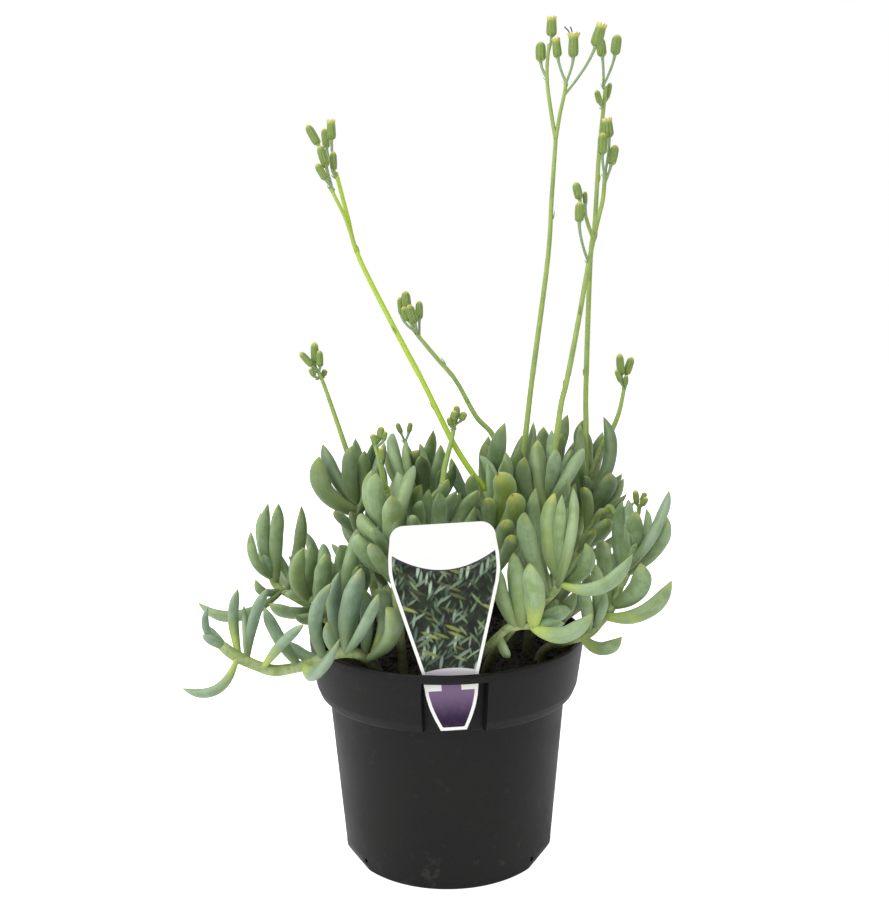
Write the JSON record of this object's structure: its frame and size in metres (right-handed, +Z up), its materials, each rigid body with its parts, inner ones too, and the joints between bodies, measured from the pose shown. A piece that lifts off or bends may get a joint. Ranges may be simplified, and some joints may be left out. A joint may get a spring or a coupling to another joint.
{
  "type": "potted succulent",
  "caption": "Blue-green finger-leaved succulent with tall budding flower stalks in a round black nursery pot with a plant tag.",
  "frame": {"origin": "on the pot's axis, on the surface the pot stands on", "axes": "+Z up along the pot's axis, -Y towards the front with the plant tag, +X to the viewer's right"},
  "size_m": [0.233, 0.1793, 0.415],
  "materials": {
    "plant_tag": "printed, glossy",
    "pot": "satin moulded plastic",
    "soil": "loose dark potting mix of bark and peat",
    "leafy_stem": "waxy matte bloom",
    "flower_stalk": "smooth, slightly waxy"
  },
  "bodies": {
    "root": {"flower_stalk_back_bud": "flower_stalk", "flower_stalk_centre_small": "flower_stalk", "flower_stalk_front_bud": "flower_stalk", "flower_stalk_mid_left": "flower_stalk", "flower_stalk_side_right": "flower_stalk", "flower_stalk_small_left": "flower_stalk", "flower_stalk_small_right": "flower_stalk", "flower_stalk_tall_centre": "flower_stalk", "flower_stalk_tall_front_right": "flower_stalk", "flower_stalk_tall_left": "flower_stalk", "flower_stalk_tall_right": "flower_stalk", "leafy_stem_back_centre": "leafy_stem", "leafy_stem_back_centre_left": "leafy_stem", "leafy_stem_back_left": "leafy_stem", "leafy_stem_back_left_high": "leafy_stem", "leafy_stem_back_left_low": "leafy_stem", "leafy_stem_back_out_left": "leafy_stem", "leafy_stem_back_out_middle": "leafy_stem", "leafy_stem_back_right": "leafy_stem", "leafy_stem_back_right_high": "leafy_stem", "leafy_stem_back_right_low": "leafy_stem", "leafy_stem_centre_back": "leafy_stem", "leafy_stem_centre_left": "leafy_stem", "leafy_stem_centre_right": "leafy_stem", "leafy_stem_far_left": "leafy_stem", "leafy_stem_far_right": "leafy_stem", "leafy_stem_front_left": "leafy_stem", "leafy_stem_front_right": "leafy_stem", "leafy_stem_low_right": "leafy_stem", "leafy_stem_middle_left": "leafy_stem", "leafy_stem_right_back_stalk_foot": "leafy_stem", "leafy_stem_right_branch": "leafy_stem", "leafy_stem_tall_centre_foot": "leafy_stem", "leafy_stem_top_right": "leafy_stem", "leafy_stem_trailing_left": "leafy_stem", "leafy_stem_upper_left": "leafy_stem", "leafy_stem_upper_right": "leafy_stem", "plant_tag": "plant_tag", "pot": "pot", "soil": "soil"}
  },
  "joints": []
}
